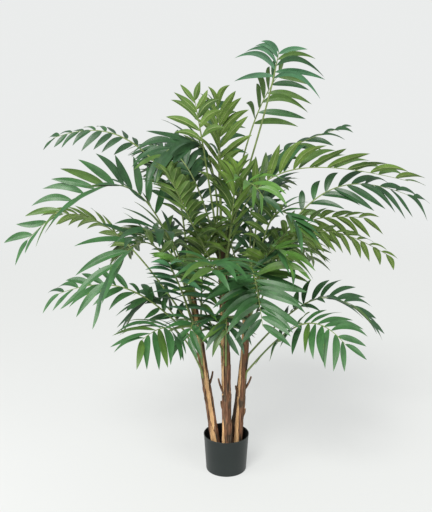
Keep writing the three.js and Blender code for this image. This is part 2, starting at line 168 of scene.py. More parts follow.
# Fronds. The stalk leaves its stem at the foot height, on the bearing in degrees from +X
# towards +Y. Reach and rise lead from there to the frond's tip, and the knee is the corner
# that its arch bends under. Roll turns the blade about its rib. Bare is the share of the rib
# without leaflets. Angle and tip_angle are the degrees between a leaflet and the rib, at the
# first pair and at the last, lift raises the leaflets, droop is their sag by length, and face
# turns each about its own length, so that its top looks towards the frond's tip. Below is the
# number of pairs below a frond's lowest that only this model has.
FROND_COLUMNS = (
    "name", "stem", "foot", "bearing", "reach", "rise", "knee_out", "knee_up", "roll",
    "pairs", "leaf", "bare", "angle", "tip_angle", "lift", "droop", "face", "below",
)
FROND_ROWS = [
    ("left_high", "centre", 820, 176, 585, 430, 290, 530, -30, 8, 88, 0.5, 60, 31, -15, 0.16, 0, 0),
    ("left_mid", "left", 690, -172, 570, 215, 175, 595, -40, 12, 165, 0.34, 41, 36, 45, 0.04, 0, 1),
    ("left_inner", "left", 540, 172, 500, 435, 300, 455, 45, 7, 120, 0.5, 44, 24, 5, 0.2, 0, 1),
    ("left_front", "left", 560, -139, 400, 225, 190, 510, -10, 6, 200, 0.45, 44, 18, 30, 0.1, 0, 1),
    ("left_low", "left", 500, 180, 505, 195, 250, 290, -30, 6, 132, 0.5, 50, 32, 10, 0.2, 0, 3),
    ("left_skirt", "left", 385, -128, 325, 230, 150, 285, -12, 7, 165, 0.5, 66, 34, -10, 0.2, 0, 1),
    ("left_skirt_back", "left", 430, 160, 270, 165, 165, 305, -20, 7, 140, 0.45, 46, 28, 5, 0.16, 0, 2),
    ("left_front_high", "left", 630, -128, 230, 330, 110, 370, -20, 5, 185, 0.5, 56, 29, 20, 0.16, 0, 3),
    ("left_inner_front", "left", 520, -60, 90, 440, 10, 360, 0, 8, 150, 0.45, 54, 26, 10, 0.2, 25, 4),
    ("left_upright", "centre", 805, -122, 165, 585, 115, 440, 0, 5, 128, 0.64, 68, 30, 0, 0.03, 0, 0),
    ("front_left_high", "centre", 840, -148, 245, 360, 20, 505, -30, 7, 170, 0.55, 42, 22, 0, 0.16, 0, 4),
    ("high_left_rear", "centre", 800, 135, 400, 400, 150, 420, -25, 9, 150, 0.42, 54, 28, 0, 0.16, 0, 4),
    ("back_upright", "centre", 850, 98, 150, 500, 90, 380, 40, 7, 140, 0.5, 64, 40, 30, 0.24, 0, 3),
    ("upper_centre", "centre", 850, -98, 90, 520, 40, 350, -20, 6, 175, 0.52, 40, 24, 15, 0.16, 0, 2),
    ("crown_top", "centre", 880, 25, 215, 590, 100, 450, 85, 6, 175, 0.56, 54, 40, 35, 0.34, 0, 0),
    ("crown_tip", "centre", 865, -35, 212, 676, 182, 520, 132, 5, 165, 0.785, 78, 44, 12, 0.36, 0, 0),
    ("right_high", "centre", 830, 20, 455, 445, 80, 360, 17, 7, 118, 0.5, 34, 20, -8, 0.2, 0, 4),
    ("right_long", "centre", 775, -2, 633, 333, 70, 466, -15, 8, 176, 0.46, 44, 33, 65, 0.14, 0, 1),
    ("right_second", "right", 700, 9, 606, 330, 240, 483, 42, 8, 145, 0.4, 38, 24, 5, 0.28, 0, 1),
    ("right_mid", "right", 632, -9, 400, 355, 90, 375, -50, 9, 135, 0.4, 62, 34, -10, 0.2, 0, 2),
    ("right_arc", "right", 590, -8, 485, 265, 155, 455, -50, 10, 92, 0.42, 66, 34, -15, 0.2, 0, 1),
    ("right_inner", "right", 520, 24, 245, 330, 160, 430, 0, 8, 140, 0.42, 54, 28, 15, 0.16, 0, 4),
    ("right_inner_front", "right", 530, -46, 200, 320, 85, 430, 0, 8, 150, 0.38, 50, 28, 20, 0.2, 0, 3),
    ("front_right", "right", 580, -80, 250, 80, 30, 350, 0, 8, 190, 0.5, 88, 46, 14, 0.06, 0, 0),
    ("right_skirt_back", "right", 450, -5, 440, 155, 260, 330, 10, 8, 140, 0.45, 50, 26, 25, 0.16, 0, 3),
    ("right_skirt", "right", 385, -42, 430, 222, 270, 342, 20, 7, 138, 0.5, 74, 38, 0, 0.2, 0, 4),
    ("front_left_low", "centre", 470, -135, 240, 400, 190, 370, 0, 9, 140, 0.35, 80, 44, 0, 0.22, 70, 2),
    ("front_centre", "centre", 560, -97, 360, 320, 180, 340, 0, 7, 185, 0.42, 70, 34, 10, 0.22, 20, 1),
    ("front_bright", "centre", 784, -60, 250, 300, 95, 410, 0, 6, 150, 0.42, 54, 28, 30, 0.26, 20, 3),
    ("front_high", "centre", 740, -72, 125, 415, 100, 300, 0, 8, 165, 0.35, 40, 22, 20, 0.2, 15, 3),
    ("centre_left_mid", "centre", 740, -130, 265, 420, 215, 325, 10, 8, 140, 0.35, 52, 26, 15, 0.2, 10, 2),
    ("front_low", "centre", 430, -90, 190, 185, 110, 290, 0, 7, 128, 0.4, 76, 34, 5, 0.26, 0, 1),
    ("right_front_high", "right", 668, -50, 240, 305, 110, 440, 0, 8, 135, 0.42, 54, 28, 30, 0.24, 0, 3),
    ("back_left_high", "left", 700, 108, 400, 380, 150, 460, 0, 9, 175, 0.42, 54, 28, 30, 0.16, 0, 4),
    ("back_left_low", "left", 600, 130, 430, 170, 180, 370, 0, 9, 165, 0.42, 54, 28, 30, 0.16, 0, 4),
    ("back_right_high", "right", 700, 72, 380, 330, 150, 400, 0, 9, 170, 0.42, 54, 28, 30, 0.16, 0, 2),
    ("back_right_low", "right", 560, 48, 400, 190, 170, 380, 0, 9, 165, 0.42, 54, 28, 30, 0.16, 0, 1),
    ("rear_left", "back", 560, 112, 430, 200, 160, 420, 0, 8, 170, 0.42, 54, 28, 30, 0.16, 0, 4),
    ("rear_low", "back", 470, 95, 420, 150, 150, 340, 0, 8, 165, 0.42, 54, 28, 30, 0.16, 0, 3),
    ("rear_right", "back", 520, 72, 430, 180, 150, 400, 0, 8, 170, 0.42, 54, 28, 30, 0.16, 0, 4),
    ("rear_high", "back", 610, 86, 420, 360, 130, 460, 0, 9, 175, 0.42, 54, 28, 30, 0.16, 0, 4),
    ("left_comb", "left", 465, -112, 255, 405, 145, 280, 0, 8, 130, 0.38, 80, 48, 0, 0.22, 62, 2),
    ("left_low_front", "left", 432, -104, 180, 160, 90, 255, 0, 6, 118, 0.42, 76, 34, 5, 0.28, 0, 0),
]

# The source's rule for ribs and leaflets. A leaflet of the solids is found by its tip, within
# the match distance, at the lift that it took to stand clear of its neighbours.
RIB_FULLNESS = 0.8
ROOT_OFFSET = 9
CAD_RIB_RADII = (4.6, 3.2, 1.5)
LEAF_SUNK_SHARE = 0.4
LEAF_STAGGER = 0.35
LEAF_LAST = 0.985
LEAF_FULLNESS = (0.84, 0.22)
LEAF_FULLNESS_START = 0.1
LEAF_TIP_SHARE = 0.7
LIFT_LOSS = 0.5
CHANCE_SEED = (7919, 104729)
CHANCE_STEP = 16807
CHANCE_MODULUS = 2147483647
CHANCE = dict(angle=10, lift=12, twist=30, length=0.14, droop=0.12)
LEAF_TRIES = (0, 14, -14, 28, -28)
MATCH_DISTANCE = 0.5
WAY_OUT_LIMIT, WAY_OUT_STEP, WAY_OUT_CLEAR = 0.2, 0.005, 3

# Finer ribs: radius at root, where the leaflets begin, and at the tip, and the groove on top
RIB_RADII = (3.9, 2.9, 0.9)
RIB_SEGMENTS = 8
RIB_STEPS = 44
RIB_GROOVE, RIB_GROOVE_POWER = 0.22, 3
RIB_POINT = 2

# The foot of a rib, which clasps its stem: radius and depth in the bark, low and high, its
# least height over the stem's foot, and the steps over which its swelling fades
CLASP_LENGTH = 85
CLASP_STEPS = 7
CLASP_RADII, CLASP_RADIUS_POWER = (1.5, 4.3), 1.5
CLASP_SUNK = (2.8, -1.5)
CLASP_LOWEST = 20
CLASP_FADE_STEPS = 3

# Fronds in the thick of the plant, which have leaflets between their pairs in this model only,
# and the degrees over which the lift of its own leaflets is spread by chance
FILLED_BETWEEN = {
    "left_inner_front", "high_left_rear", "centre_left_mid", "front_right", "back_left_high",
    "back_left_low", "rear_high", "rear_left", "rear_right",
}
EXTRA_LIFT_SPREAD = 50
FINE_SEED = 1000

# Finer leaflets: half their width at a length that they are like, the share of it that goes
# with their length, its spread by chance, and the share of it that slimmer fronds have
LEAF_HALF = 13.8
LEAF_LIKE_LENGTH = 160
LEAF_WIDTH_BY_LENGTH = 0.45
LEAF_WIDTH_SPREAD = (0.92, 1.08)
SLIM_LEAVES = {"crown_tip": 0.72, "crown_top": 0.88, "upper_centre": 0.9}

# A leaflet's stations and columns, and its outline
LEAF_STATIONS, LEAF_STATION_POWER = 14, 1.08
LEAF_ACROSS = (-1, -0.55, -0.09, 0, 0.09, 0.55, 1)
LEAF_WIDEST = 0.42
LEAF_BASE_POWER = 0.68

# Its thickness, the midrib's ridge below, its fold, sideways curve, turn, bow and wavy edge
LEAF_THICKNESS, LEAF_THINNING = 0.7, 0.4
LEAF_RIDGE = 0.7
LEAF_FOLD, LEAF_FOLD_POWER = (0.1, 0.34), 1.25
LEAF_SICKLE = 0.08
LEAF_TURN_DEGREES = 90
LEAF_BOW = (0, 0.1)
LEAF_WAVE, LEAF_WAVE_POWER, LEAF_WAVE_RATE, LEAF_WAVE_OFFSET = 0.06, 3, 9, 2

# The angle between two faces at which their shared edge is sharp
SHARP_DEGREES = dict(pot=50, fill=60, stem=55, frond=50)


def lerp(a, b, share):
    return a + (b - a) * share


def unit(vector):
    return vector / np.linalg.norm(vector)


def turned(vector, axis, angle):
    """The vector, turned about a unit axis by an angle in radians."""
    return (
        vector * math.cos(angle)
        + np.cross(axis, vector) * math.sin(angle)
        + axis * np.dot(axis, vector) * (1 - math.cos(angle))
    )


def smooth(low, high, value):
    """0 below low, 1 above high, with a soft step between."""
    share = np.clip((value - low) / (high - low), 0, 1)
    return share * share * (3 - 2 * share)


def arch(share):
    """0 at both ends and 1 in the middle."""
    return 4 * share * (1 - share)


def direction_of(bearing):
    turn = math.radians(bearing)
    return np.array([math.cos(turn), math.sin(turn), 0])


def circle(segments):
    """Directions around the upright axis."""
    return np.array([direction_of(360 * side / segments) for side in range(segments)])


def chance_from(seed):
    """The source's seeded sequence of numbers from 0 to 1."""
    factor, offset = CHANCE_SEED
    state = (seed * factor + offset) % CHANCE_MODULUS
    while True:
        state = state * CHANCE_STEP % CHANCE_MODULUS
        yield state / CHANCE_MODULUS


# Meshes

def add_object(name, data):
    made = bpy.data.objects.new(name, data)
    bpy.context.scene.collection.objects.link(made)
    return made


class Maker:
    """Collects solids, in millimetres, for one joined mesh. Flat is where each point lies on
    its leaflet's blade, in metres across and along it."""

    def __init__(self):
        self.points = []
        self.faces = []
        self.kinds = []
        self.flat = []
        self.count = 0

    def add(self, points, faces, kinds, flat=0):
        self.points.append(points)
        self.faces.extend([[self.count + corner for corner in face] for face in faces])
        self.kinds.extend(kinds)
        self.flat.append(np.zeros((len(points), 2)) + flat)
        self.count += len(points)

    def make(self, name, materials, sharp_degrees):
        mesh = bpy.data.meshes.new(name)
        mesh.from_pydata((np.concatenate(self.points) * MM).tolist(), [], self.faces)
        for material in materials:
            mesh.materials.append(material)
        mesh.polygons.foreach_set("material_index", self.kinds)
        flat = np.concatenate(self.flat)[np.concatenate(self.faces)]
        mesh.uv_layers.new(name="blade").data.foreach_set("uv", flat.ravel())
        mesh.shade_smooth()
        mesh.set_sharp_from_angle(angle=math.radians(sharp_degrees))
        mesh.update()
        return add_object(name, mesh)


def lofted(rings, first_point, last_point):
    """Points and faces of a closed skin from the first point over rings to the last point. The
    rings are an array of rings by sides by 3, and run anticlockwise seen from the last point."""
    count, segments = rings.shape[:2]
    points = np.concatenate([[first_point], rings.reshape(-1, 3), [last_point]])
    faces = []
    for side in range(segments):
        after = (side + 1) % segments
        faces.append([0, 1 + after, 1 + side])
        for ring in range(count - 1):
            low = 1 + ring * segments
            high = low + segments
            faces.append([low + side, low + after, high + after, high + side])
        top = 1 + (count - 1) * segments
        faces.append([len(points) - 1, top + side, top + after])
    return points, faces


# Pot and fill

def pot_radius(height):
    return lerp(POT_FOOT_RADIUS, POT_RIM_RADIUS, height / POT_HEIGHT)


def make_pot(materials):
    """The pot with its rounded foot, plain side, thin rolled rim, wall and floor, turned from
    a profile of radius and height about the upright axis."""
    profile = [(POT_FOOT_RADIUS * UNDERSIDE_RING_SHARE, 0), (POT_FOOT_RADIUS - POT_EDGE, 0)]
    for step in range(1, EDGE_RINGS + 1):
        turn = step / EDGE_RINGS * math.pi / 2
        profile.append((
            pot_radius(POT_EDGE) - POT_EDGE * (1 - math.sin(turn)),
            POT_EDGE * (1 - math.cos(turn)),
        ))
    lip_foot = POT_HEIGHT - RIM_LIP_HEIGHT
    for height in np.linspace(POT_EDGE + SIDE_ENDS[0], lip_foot - SIDE_ENDS[1], SIDE_RINGS):
        profile.append((pot_radius(height), height))
    for out, up in LIP_CORNERS:
        profile.append((pot_radius(lip_foot) + RIM_LIP * out, lip_foot + up))
    profile += [
        (POT_RIM_RADIUS + RIM_LIP * LIP_TOP_SHARE, POT_HEIGHT - RIM_ROUND),
        (POT_RIM_RADIUS, POT_HEIGHT),
        (POT_RIM_RADIUS - POT_WALL + RIM_ROUND, POT_HEIGHT),
        (POT_RIM_RADIUS - POT_WALL, POT_HEIGHT - RIM_ROUND),
    ]
    outside = len(profile)
    for height in np.linspace(POT_HEIGHT - WALL_ENDS[0], POT_FLOOR + WALL_ENDS[1], WALL_RINGS):
        profile.append((pot_radius(height) - POT_WALL, height))
    profile += [
        (pot_radius(POT_FLOOR) - POT_WALL - FLOOR_CORNER, POT_FLOOR),
        (POT_FOOT_RADIUS * FLOOR_RING_SHARE, POT_FLOOR),
    ]
    around = circle(POT_SEGMENTS)
    rings = np.array([radius * around + height * UP for radius, height in profile])
    points, faces = lofted(rings, (0, 0, 0), (0, 0, POT_FLOOR))
    # The wall inside and the floor take the darker second plastic: painted shade in the hollow
    first_inner = 1 + (outside - 1) * POT_SEGMENTS
    kinds = [int(min(face) >= first_inner) for face in faces]
    maker = Maker()
    maker.add(points, faces, kinds)
    return maker.make("pot_shell", materials, SHARP_DEGREES["pot"])


def make_fill(materials):
    """Dark cement with a rough, uneven top that creeps up a little against the wall."""
    bottom = POT_FLOOR + FILL_GAP
    inset = POT_WALL + FILL_GAP
    around = circle(FILL_SEGMENTS)
    rings = []
    for height in (bottom, bottom + FILL_EDGE[1], FILL_TOP / 2):
        radius = pot_radius(height) - inset - (FILL_EDGE[0] if height == bottom else 0)
        rings.append(radius * around + height * UP)
    edge = pot_radius(FILL_TOP) - inset
    for ring in range(FILL_RINGS):
        radius = edge * (1 - ring / FILL_RINGS)
        creep = FILL_CREEP * smooth(edge - FILL_CREEP_WIDTH, edge, radius)
        row = []
        for place in radius * around:
            lumps = noise.fractal(Vector(place + FILL_SEED * UP) / FILL_LUMP, *FILL_LUMP_NOISE)
            row.append(place + (FILL_TOP + FILL_RELIEF * (lumps - 1) + creep) * UP)
        rings.append(row)
    top_middle = (0, 0, FILL_TOP - FILL_MIDDLE_DROP)
    points, faces = lofted(np.array(rings), (0, 0, bottom), top_middle)
    maker = Maker()
    maker.add(points, faces, [0] * len(faces))
    return maker.make("cement_fill", materials, SHARP_DEGREES["fill"])


# Stems

def stem_centre(stem, height):
    share = (height - STEM_FOOT) / (stem["top"] - STEM_FOOT)
    return np.array([
        lerp(stem["foot"][0], stem["tip"][0], share) + stem["bow"] * arch(share),
        lerp(stem["foot"][1], stem["tip"][1], share),
        height,
    ])


def stem_radius(stem, height):
    share = (height - STEM_FOOT) / (stem["top"] - STEM_FOOT)
    flare = FLARE * math.exp(-(height - STEM_FOOT) / FLARE_HEIGHT)
    return lerp(stem["radii"][0], stem["radii"][1], share) + flare


def peeled(name, height, bearing):
    """How far a place on a stem has lost its bark, from 0 to 1. Where the stripes face the viewer,
    their pale wood is also painted highlight.
    """
    most = 0.0
    for stem, low, high, bearing_low, bearing_high, half_low, half_high in PEELS_AND_LIT_STRIPES:
        if stem != name or not low - PEEL_END < height < high + PEEL_END:
            continue
        share = min(max((height - low) / (high - low), 0), 1)
        seed = low / PEEL_SEED_SCALE
        waver = noise.noise(Vector((height / PEEL_WAVER_LENGTH, seed, bearing_low)))
        middle = lerp(bearing_low, bearing_high, share) + PEEL_WAVER_DEGREES * waver
        swell = noise.noise(Vector((height / PEEL_SWELL_LENGTH, bearing_high, seed)))
        half = lerp(half_low, half_high, share) * (1 + PEEL_SWELL * swell)
        ends = smooth(low - PEEL_END, low + PEEL_END, height)
        ends *= 1 - smooth(high - PEEL_END, high + PEEL_END, height)
        away = abs((bearing - middle + 180) % 360 - 180)
        inside = 1 - smooth(half * ends, half * ends + PEEL_EDGE_DEGREES, away)
        most = max(most, inside * min(1, PEEL_END_SHARPNESS * ends))
    return most


def bark_relief(seed, height, out, radius):
    """Height in millimetres of the bark's fibres, flakes and lumps at a place on a stem."""
    shift = np.array([seed, 2 * seed, 0])

    def waves(width, length):
        return noise.noise(Vector(out * radius / width + shift + height / length * UP))

    fibres = 1 - 2 * abs(waves(FIBRE_WIDTH, FIBRE_LENGTH))
    flakes = smooth(*FLAKE_EDGE, waves(FLAKE_WIDTH, FLAKE_LENGTH)) - 0.5
    lumps = waves(LUMP_WIDTH, LUMP_LENGTH)
    return FIBRE_HEIGHT * fibres, FLAKE_HEIGHT * flakes, LUMP_HEIGHT * lumps


def sheath_relief(stem, height):
    """How far the bark stands out by its old leaf sheaths, each of which widens upwards."""
    sheaths = round((stem["top"] - STEM_FOOT) / SHEATH_LENGTH)
    length = (stem["top"] - STEM_FOOT) / sheaths
    share = (height - STEM_FOOT) / length
    return SHEATH_STEP * (share - math.floor(share)) if share < sheaths else 0.0


# Material numbers of the bark, in the order of BARK_COLOURS
BARK_RED, BARK_BROWN, BARK_GREY, BARK_PALE, BARK_CUT = range(5)


def bark_kind(name, bare, patch):
    """The material number at a place on a stem, by how bare it is and by its patch of colour."""
    # Pale wood where the bark is peeled; on the sides that face the viewer it is also painted highlight
    if bare > 0.5:
        return BARK_PALE
    if name == "back" or patch < GREY_BELOW:
        return BARK_GREY
    return BARK_RED if patch > RED_ABOVE else BARK_BROWN


def make_bark(name, stem, seed, maker):
    """One stem's skin: rings that follow its lean and bow, pushed out by the bark's relief."""
    steps = round((stem["top"] - STEM_FOOT) / BARK_STEP)
    around = circle(BARK_SEGMENTS)
    rings = []
    looks = []
    for step in range(steps + 1):
        height = lerp(STEM_FOOT - BARK_SUNK, stem["top"], step / steps)
        centre = stem_centre(stem, height)
        row = []
        look = []
        base = stem_radius(stem, height) - BARK_INSET
        sheath = sheath_relief(stem, height)
        for side, out in enumerate(around):
            fibres, flakes, lumps = bark_relief(seed, height, out, base)
            bare = peeled(name, height, 360 * side / BARK_SEGMENTS)
            relief = lerp(fibres + flakes, BARE_FIBRES * fibres - PEEL_DEPTH, bare) + lumps
            row.append(centre + (base + relief + sheath) * out)
            place = Vector(out + (height / PATCH_LENGTH + seed) * UP)
            look.append(bark_kind(name, bare, noise.noise(place * PATCH_SCALE)))
        rings.append(row)
        looks.append(look)
    rings = np.array(rings)
    points, faces = lofted(rings, rings[0].mean(0), rings[-1].mean(0) + BARK_TOP * UP)
    kinds = []
    for face in faces:
        ring, side = divmod(face[1] - 1, BARK_SEGMENTS)
        kinds.append(looks[ring][side])
    maker.add(points, faces, kinds)


def make_stump(stem, seed, height, bearing, length, lean, maker):
    """A cut stalk: it leaves the bark upwards, thins, bends a little and ends in a pale cut."""
    out = direction_of(bearing)
    along = UP * math.cos(math.radians(lean)) + out * math.sin(math.radians(lean))
    side = np.array([-out[1], out[0], 0])
    other = np.cross(along, side)
    start = stem_centre(stem, height) + out * (stem_radius(stem, height) - STUMP_RADII[0])
    start -= along * STUMP_RADII[0]
    rings = []
    for step in range(STUMP_STEPS + 1):
        share = step / STUMP_STEPS
        middle = start + along * (length + STUMP_RADII[0]) * share
        middle += out * STUMP_BEND * math.sin(share * math.pi)
        middle += side * STUMP_BEND * share * (1 - share)
        radius = lerp(*STUMP_RADII, share ** STUMP_TAPER_POWER)
        row = []
        for x, y, _ in circle(STUMP_SEGMENTS):
            place = Vector((
                STUMP_NOISE_AROUND * x + seed, STUMP_NOISE_AROUND * y, STUMP_NOISE_ALONG * share,
            ))
            rough = 1 + STUMP_ROUGHNESS * noise.noise(place)
            row.append(middle + radius * rough * (side * x + other * y))
        rings.append(row)
    cut = np.array(rings[-1])
    rings.append(lerp(cut.mean(0), cut, STUMP_CUT_SHARE) + along * STUMP_CUT_RISE)
    rings = np.array(rings)
    points, faces = lofted(rings, rings[0].mean(0), rings[-1].mean(0))
    first_cut = 1 + STUMP_STEPS * STUMP_SEGMENTS
    kinds = [BARK_CUT if min(face) >= first_cut else BARK_BROWN for face in faces]
    maker.add(points, faces, kinds)


def make_stem(name, materials):
    seed = BARK_SEED_STEP * (1 + list(STEMS).index(name))
    maker = Maker()
    make_bark(name, STEMS[name], seed, maker)
    for stem, height, bearing, length, lean in STUMPS:
        if stem == name:
            make_stump(STEMS[name], seed + height, height, bearing, length, lean, maker)
    return maker.make("bark_" + name, materials, SHARP_DEGREES["stem"])


# Fronds

class Rib:
    """The source's curve of a frond's rib, in the upright plane of its bearing."""

    def __init__(self, frond):
        self.stem = STEMS[frond["stem"]]
        self.frond = frond
        self.out = direction_of(frond["bearing"])
        self.side = np.array([-self.out[1], self.out[0], 0])
        root = stem_centre(self.stem, frond["foot"]) + ROOT_OFFSET * self.out
        tip = root + frond["reach"] * self.out + frond["rise"] * UP
        knee = root + frond["knee_out"] * self.out + frond["knee_up"] * UP
        self.corners = [root, lerp(root, knee, RIB_FULLNESS), lerp(tip, knee, RIB_FULLNESS), tip]

    def point(self, share):
        a, b, c, d = self.corners
        rest = 1 - share
        return (
            rest ** 3 * a + 3 * rest ** 2 * share * b
            + 3 * rest * share ** 2 * c + share ** 3 * d
        )

    def tangent(self, share):
        a, b, c, d = self.corners
        rest = 1 - share
        return unit(rest ** 2 * (b - a) + 2 * rest * share * (c - b) + share ** 2 * (d - c))

    def radius(self, share, radii):
        root, start, tip = radii
        bare = self.frond["bare"]
        if share < bare:
            return lerp(root, start, share / bare)
        return lerp(start, tip, (share - bare) / (1 - bare))

    def way_out(self):
        """Share of the rib at which it has left its stem."""
        share = 0.0
        while share < WAY_OUT_LIMIT:
            place = self.point(share)
            axis = stem_centre(self.stem, place[2])
            clear = stem_radius(self.stem, place[2]) + WAY_OUT_CLEAR
            if np.dot(place - axis, self.out) > clear:
                break
            share += WAY_OUT_STEP
        return share


def leaflet_place(frond, rib, pair, hand, chance):
    """Where a leaflet stands by the source's rule."""

    def spread(width):
        return (next(chance) - 0.5) * width

    forward = LEAF_STAGGER if hand > 0 else 0
    along = (pair + forward) / (frond["pairs"] - 1 + LEAF_STAGGER)
    share = frond["bare"] + (1 - frond["bare"]) * along * LEAF_LAST
    angle = lerp(frond["angle"], frond["tip_angle"], along) + spread(CHANCE["angle"])
    lift = frond["lift"] * (1 - LIFT_LOSS * along) + spread(CHANCE["lift"])
    swell = math.sin(math.pi * lerp(LEAF_FULLNESS_START, 1, along))
    fullness = LEAF_FULLNESS[0] + LEAF_FULLNESS[1] * swell
    taper = 1 - (1 - LEAF_TIP_SHARE) * along * along
    length = frond["leaf"] * fullness * taper * (1 + spread(CHANCE["length"]))
    droop = frond["droop"] + CHANCE["droop"] * next(chance)
    twist = math.radians(hand * frond["face"] + spread(CHANCE["twist"]))
    tangent = rib.tangent(share)
    return dict(
        base=rib.point(share), rib_radius=rib.radius(share, CAD_RIB_RADII), tangent=tangent,
        across=turned(rib.side, tangent, math.radians(frond["roll"])), hand=hand,
        angle=math.radians(angle), lift=lift, length=length, droop=droop, twist=twist,
        slim=SLIM_LEAVES.get(frond["name"], 1),
    )


def leaflet_places(frond, rib, pairs, chance):
    """Where the leaflets of these pairs stand, before any change to clear a neighbour."""
    return [
        leaflet_place(frond, rib, pair, hand, chance)
        for pair in pairs for hand in (1, -1)
    ]


def extra_places(frond, rib, chance):
    """Where the leaflets stand that only this model has, below the solid frond's and between."""
    pairs = [-1 - step for step in range(frond["below"])]
    if frond["name"] in FILLED_BETWEEN:
        pairs += [pair + 0.5 for pair in range(frond["pairs"] - 1)]
    places = leaflet_places(frond, rib, pairs, chance)
    for place in places:
        place["lift"] += (next(chance) - 0.5) * EXTRA_LIFT_SPREAD
    return places


def leaflet_frame(place, extra_lift):
    """Directions along, across and under a leaflet that is lifted by some more degrees."""
    across = place["across"] * place["hand"]
    above = np.cross(place["tangent"], place["across"])
    lift = math.radians(place["lift"] + extra_lift)
    along = (
        place["tangent"] * math.cos(place["angle"])
        + across * math.sin(place["angle"]) * math.cos(lift)
        + above * math.sin(place["angle"]) * math.sin(lift)
    )
    wide = unit(place["tangent"] - along * np.dot(place["tangent"], along))
    wide = -place["hand"] * turned(wide, along, place["twist"])
    return along, wide, np.cross(wide, along)


def leaflet_tip(place, along):
    return place["base"] + place["length"] * (along - UP * place["droop"])


def chosen_lift(place, tree):
    """The lift at which the solid frond has this leaflet, or None where it was left out."""
    for extra_lift in LEAF_TRIES:
        along = leaflet_frame(place, extra_lift)[0]
        distance = tree.find(Vector(leaflet_tip(place, along) * MM))[2]
        if distance < MATCH_DISTANCE * MM:
            return extra_lift
    return None


def corner_tree(frond):
    """The corners of the solid frond, to look near places up in."""
    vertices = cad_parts["frond_" + frond["name"]].data.vertices
    tree = kdtree.KDTree(len(vertices))
    for index, vertex in enumerate(vertices):
        tree.insert(vertex.co, index)
    tree.balance()
    return tree


def blade_faces():
    """Faces of one leaflet with what each is: 0 for above, 1 for below, 2 for the midrib below."""
    across = len(LEAF_ACROSS)
    loop = 2 * across - 2
    faces = []
    sides = []
    for edge in range(loop):
        after = (edge + 1) % loop
        upper = edge < across - 1
        column = edge if upper else loop - 1 - edge
        on_midrib = 0 in LEAF_ACROSS[column:column + 2]
        side = 0 if upper else 2 if on_midrib else 1
        faces.append([0, 1 + edge, 1 + after])
        for ring in range(LEAF_STATIONS - 1):
            low = 1 + ring * loop
            high = low + loop
            faces.append([low + edge, high + edge, high + after, low + after])
        top = 1 + (LEAF_STATIONS - 1) * loop
        faces.append([1 + LEAF_STATIONS * loop, top + after, top + edge])
        sides.extend([side] * (LEAF_STATIONS + 1))
    return faces, np.array(sides)


BLADE_FACES, BLADE_SIDES = blade_faces()


def leaf_width(share):
    """Half width of a leaflet as a share of its greatest, narrow at the base, pointed at the tip."""
    tip_power = LEAF_BASE_POWER * (1 - LEAF_WIDEST) / LEAF_WIDEST
    return (share / LEAF_WIDEST) ** LEAF_BASE_POWER * ((1 - share) / (1 - LEAF_WIDEST)) ** tip_power


def make_leaflet(place, extra_lift, chance, kinds, maker):
    """A thin folded blade with a raised midrib below, which sags and turns towards its point."""
    along, wide, under = leaflet_frame(place, extra_lift)
    length = place["length"]
    fold = lerp(*LEAF_FOLD, next(chance))
    sickle = (next(chance) - 0.5) * 2 * LEAF_SICKLE * length
    turn = math.radians((next(chance) - 0.5) * LEAF_TURN_DEGREES)
    phase = next(chance) * 2 * math.pi
    bow = (UP - along * np.dot(UP, along)) * lerp(*LEAF_BOW, next(chance)) * length
    half = LEAF_HALF * place["slim"] * lerp(*LEAF_WIDTH_SPREAD, next(chance))
    half *= lerp(1, length / LEAF_LIKE_LENGTH, LEAF_WIDTH_BY_LENGTH)
    across = np.array(LEAF_ACROSS)
    points = [place["base"] - along * LEAF_SUNK_SHARE * place["rib_radius"]]
    flat = [(0, 0)]
    for station in range(1, LEAF_STATIONS + 1):
        share = (station / (LEAF_STATIONS + 1)) ** LEAF_STATION_POWER
        width = half * leaf_width(share)
        here = turn * (share - LEAF_WIDEST)
        wide_here = turned(wide, along, here)
        under_here = turned(under, along, here)
        centre = place["base"] + length * (along * share - UP * place["droop"] * share ** 2)
        centre += (wide_here * sickle + bow) * arch(share)
        depth = width * fold * (1 - np.abs(across) ** LEAF_FOLD_POWER)
        wave = np.sin(LEAF_WAVE_RATE * share + phase + LEAF_WAVE_OFFSET * np.sign(across))
        wave *= LEAF_WAVE * width * np.abs(across) ** LEAF_WAVE_POWER
        middle = centre + np.outer(across * width, wide_here) + np.outer(depth + wave, under_here)
        thick = LEAF_THICKNESS * (1 - LEAF_THINNING * share) / 2
        ridge = LEAF_RIDGE * (1 - share) * (across == 0)
        upper = middle - thick * under_here
        lower = middle + np.outer(thick + ridge, under_here)
        upper[[0, -1]] = middle[[0, -1]]
        points.extend(upper)
        points.extend(lower[-2:0:-1])
        rows = [(column * width, share * length) for column in across]
        flat.extend(rows + rows[-2:0:-1])
    points.append(leaflet_tip(place, along))
    flat.append((0, length))
    maker.add(points, BLADE_FACES, kinds[BLADE_SIDES].tolist(), np.array(flat) * MM)


# Material numbers of the ribs, in the order of STALK_COLOURS
RIB_GREEN, RIB_BROWN = range(2)


